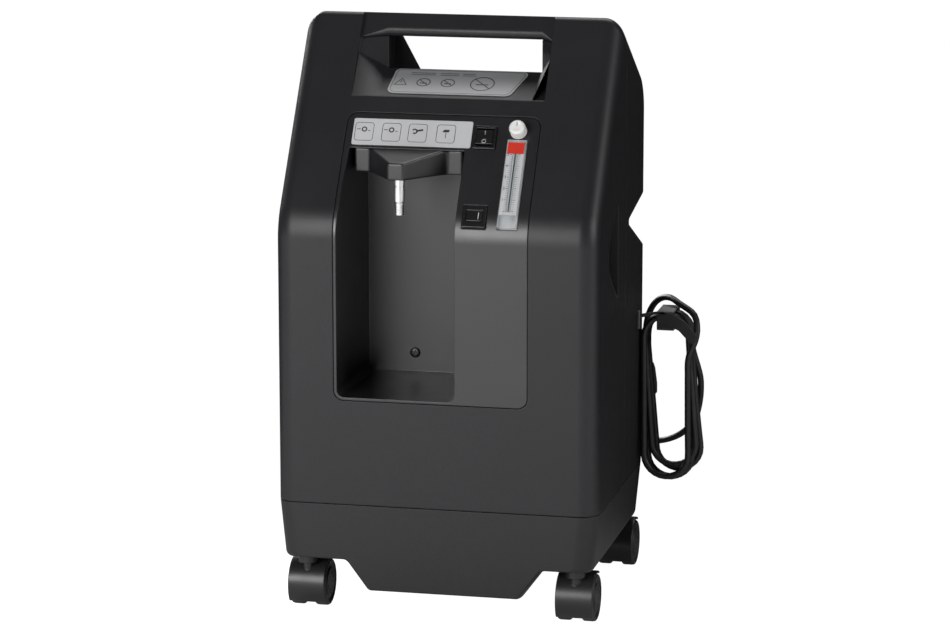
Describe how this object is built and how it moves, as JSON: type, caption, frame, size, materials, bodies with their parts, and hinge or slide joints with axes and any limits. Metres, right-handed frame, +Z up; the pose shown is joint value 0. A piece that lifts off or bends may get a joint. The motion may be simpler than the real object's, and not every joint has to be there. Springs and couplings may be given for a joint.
{
  "type": "oxygen concentrator",
  "caption": "Home oxygen concentrator: black wheeled cabinet with top handle, humidifier nook, flow meter, switches, swivel casters and a coiled mains lead.",
  "frame": {"origin": "on the floor under the middle of the cabinet", "axes": "+Z up, -Y out of the front with the controls, +X to the right seen from the front"},
  "size_m": [0.4125, 0.3763, 0.622],
  "materials": {
    "shell_black": "fine moulded texture, satin",
    "panel_black": "fine moulded texture, satin",
    "base_black": "coarse moulded texture, matt",
    "caster_black": "smooth moulded",
    "wheel_black": "matt tread",
    "overlay_grey": "printed polyester overlay",
    "label_grey": "printed polyester plate",
    "switch_black": "semi-gloss",
    "knob_white": "semi-gloss",
    "clear_acrylic": "clear moulded acrylic",
    "float_ball": "polished ball",
    "bright_metal": "nickel plated brass",
    "dark_screw": "blackened steel",
    "cord_black": "satin cord jacket",
    "strap_black": "woven hook-and-loop strap",
    "foam_grey": "open-cell foam",
    "cast_aluminium": "as cast",
    "rubber_black": "moulded",
    "sieve_white": "moulded",
    "board_green": "solder mask",
    "plastic_grey": "moulded",
    "steel_plate": "zinc plated"
  },
  "bodies": {
    "cabinet": {"front_shell": "shell_black", "rear_shell": "shell_black", "control_panel": "panel_black", "base_pan": "base_black", "outlet_housing": "panel_black", "outlet_fitting": "bright_metal", "indicator_strip": "overlay_grey", "handle_plate": "label_grey", "switch_bezel": "switch_black", "reset_bezel": "switch_black", "meter_block": "clear_acrylic", "meter_scale": "overlay_grey", "nook_screw": "dark_screw", "filter_foam": "foam_grey", "filter_tray": "plastic_grey", "rating_plate": "overlay_grey", "cord_gland": "rubber_black", "power_cord": "cord_black", "power_cord_end": "cord_black", "cord_coil": "cord_black", "power_plug": "rubber_black", "cord_strap": "strap_black", "compressor_plate": "steel_plate", "compressor_motor": "cast_aluminium", "compressor_head_left": "cast_aluminium", "compressor_head_right": "cast_aluminium", "sieve_bed_left": "sieve_white", "sieve_bed_right": "sieve_white", "valve_block": "cast_aluminium", "product_tank": "sieve_white", "bacteria_filter": "sieve_white", "intake_muffler": "plastic_grey", "circuit_board": "board_green", "fan_frame": "switch_black", "isolator_1": "rubber_black", "isolator_2": "rubber_black", "isolator_3": "rubber_black", "isolator_4": "rubber_black"},
    "rocker": {"power_rocker": "switch_black"},
    "reset_key": {"reset_button": "switch_black"},
    "knob": {"flow_knob": "knob_white"},
    "float": {"meter_float": "float_ball"},
    "fan": {"fan_rotor": "switch_black"},
    "door": {"filter_door": "panel_black"},
    "caster_front_left": {"caster_hood_front_left": "caster_black", "caster_axle_front_left": "steel_plate"},
    "wheel_front_left_a": {"caster_wheel_front_left_a": "wheel_black"},
    "wheel_front_left_b": {"caster_wheel_front_left_b": "wheel_black"},
    "caster_front_right": {"caster_hood_front_right": "caster_black", "caster_axle_front_right": "steel_plate"},
    "wheel_front_right_a": {"caster_wheel_front_right_a": "wheel_black"},
    "wheel_front_right_b": {"caster_wheel_front_right_b": "wheel_black"},
    "caster_rear_left": {"caster_hood_rear_left": "caster_black", "caster_axle_rear_left": "steel_plate"},
    "wheel_rear_left_a": {"caster_wheel_rear_left_a": "wheel_black"},
    "wheel_rear_left_b": {"caster_wheel_rear_left_b": "wheel_black"},
    "caster_rear_right": {"caster_hood_rear_right": "caster_black", "caster_axle_rear_right": "steel_plate"},
    "wheel_rear_right_a": {"caster_wheel_rear_right_a": "wheel_black"},
    "wheel_rear_right_b": {"caster_wheel_rear_right_b": "wheel_black"}
  },
  "joints": [
    {"name": "rocker_tilt", "type": "hinge", "parent": "cabinet", "child": "rocker", "pos_m": [0.0405, -0.09384, 0.50444], "axis": [1, 0, 0], "range_deg": [0, 14]},
    {"name": "reset_press", "type": "slide", "parent": "cabinet", "child": "reset_key", "axis": [0, 0.829, -0.5592], "range_m": [0, 0.0025], "stiffness_N_per_m": 400},
    {"name": "flow_knob_turn", "type": "hinge", "parent": "cabinet", "child": "knob", "pos_m": [0.0755, -0.09045, 0.51124], "axis": [0, -0.829, 0.5592], "range_deg": [0, 720]},
    {"name": "float_rise", "type": "slide", "parent": "cabinet", "child": "float", "axis": [0, 0.5592, 0.829], "range_m": [0, 0.07]},
    {"name": "fan_spin", "type": "hinge", "parent": "cabinet", "child": "fan", "pos_m": [0, 0.1314, 0.187], "axis": [0, 1, 0], "continuous": true},
    {"name": "filter_door_hinge", "type": "hinge", "parent": "cabinet", "child": "door", "pos_m": [0, 0.152, 0.3008], "axis": [-1, 0, 0], "range_deg": [0, 85]},
    {"name": "swivel_front_left", "type": "hinge", "parent": "cabinet", "child": "caster_front_left", "pos_m": [-0.144, -0.124, 0.06], "axis": [0, 0, 1], "continuous": true},
    {"name": "roll_front_left_a", "type": "hinge", "parent": "caster_front_left", "child": "wheel_front_left_a", "pos_m": [-0.144, -0.107, 0.025], "axis": [1, 0, 0], "continuous": true},
    {"name": "roll_front_left_b", "type": "hinge", "parent": "caster_front_left", "child": "wheel_front_left_b", "pos_m": [-0.144, -0.107, 0.025], "axis": [1, 0, 0], "continuous": true},
    {"name": "swivel_front_right", "type": "hinge", "parent": "cabinet", "child": "caster_front_right", "pos_m": [0.144, -0.124, 0.06], "axis": [0, 0, 1], "continuous": true},
    {"name": "roll_front_right_a", "type": "hinge", "parent": "caster_front_right", "child": "wheel_front_right_a", "pos_m": [0.144, -0.107, 0.025], "axis": [1, 0, 0], "continuous": true},
    {"name": "roll_front_right_b", "type": "hinge", "parent": "caster_front_right", "child": "wheel_front_right_b", "pos_m": [0.144, -0.107, 0.025], "axis": [1, 0, 0], "continuous": true},
    {"name": "swivel_rear_left", "type": "hinge", "parent": "cabinet", "child": "caster_rear_left", "pos_m": [-0.144, 0.106, 0.06], "axis": [0, 0, 1], "continuous": true},
    {"name": "roll_rear_left_a", "type": "hinge", "parent": "caster_rear_left", "child": "wheel_rear_left_a", "pos_m": [-0.144, 0.123, 0.025], "axis": [1, 0, 0], "continuous": true},
    {"name": "roll_rear_left_b", "type": "hinge", "parent": "caster_rear_left", "child": "wheel_rear_left_b", "pos_m": [-0.144, 0.123, 0.025], "axis": [1, 0, 0], "continuous": true},
    {"name": "swivel_rear_right", "type": "hinge", "parent": "cabinet", "child": "caster_rear_right", "pos_m": [0.144, 0.106, 0.06], "axis": [0, 0, 1], "continuous": true},
    {"name": "roll_rear_right_a", "type": "hinge", "parent": "caster_rear_right", "child": "wheel_rear_right_a", "pos_m": [0.144, 0.123, 0.025], "axis": [1, 0, 0], "continuous": true},
    {"name": "roll_rear_right_b", "type": "hinge", "parent": "caster_rear_right", "child": "wheel_rear_right_b", "pos_m": [0.144, 0.123, 0.025], "axis": [1, 0, 0], "continuous": true}
  ]
}
